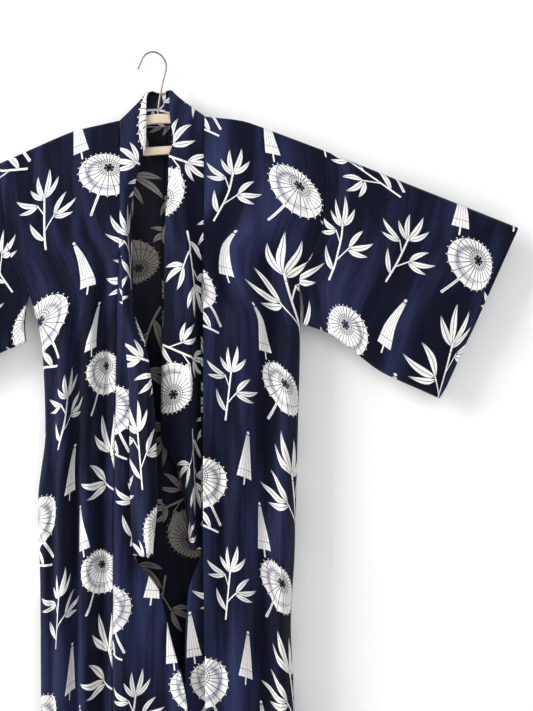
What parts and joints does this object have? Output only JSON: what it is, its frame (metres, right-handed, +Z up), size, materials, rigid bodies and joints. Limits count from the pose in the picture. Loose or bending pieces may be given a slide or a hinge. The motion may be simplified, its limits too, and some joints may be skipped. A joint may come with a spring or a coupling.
{
  "type": "cotton yukata robe on a wooden hanger",
  "caption": "Open cotton yukata robe with wide square sleeves and a long band collar, hung flat from a small two-bar wooden hanger with a wire hook",
  "frame": {"origin": "inside of the hook's bend, where it hangs", "axes": "+X viewer's right, -Y front of the robe, +Z up"},
  "size_m": [1.2265, 0.1089, 1.5697],
  "materials": {
    "printed_cotton": "plain woven cotton, dyed navy with a white print",
    "hanger_wood": "pale bare wood",
    "hook_wire": "dull bent wire"
  },
  "bodies": {
    "root": {"body_right": "printed_cotton", "body_left": "printed_cotton", "okumi_right": "printed_cotton", "okumi_left": "printed_cotton", "sleeve_right": "printed_cotton", "sleeve_left": "printed_cotton", "collar": "printed_cotton", "hanger_top_bar": "hanger_wood", "hanger_lower_bar": "hanger_wood", "hanger_post_right": "hanger_wood", "hanger_post_left": "hanger_wood", "hanger_hook": "hook_wire"}
  },
  "joints": []
}
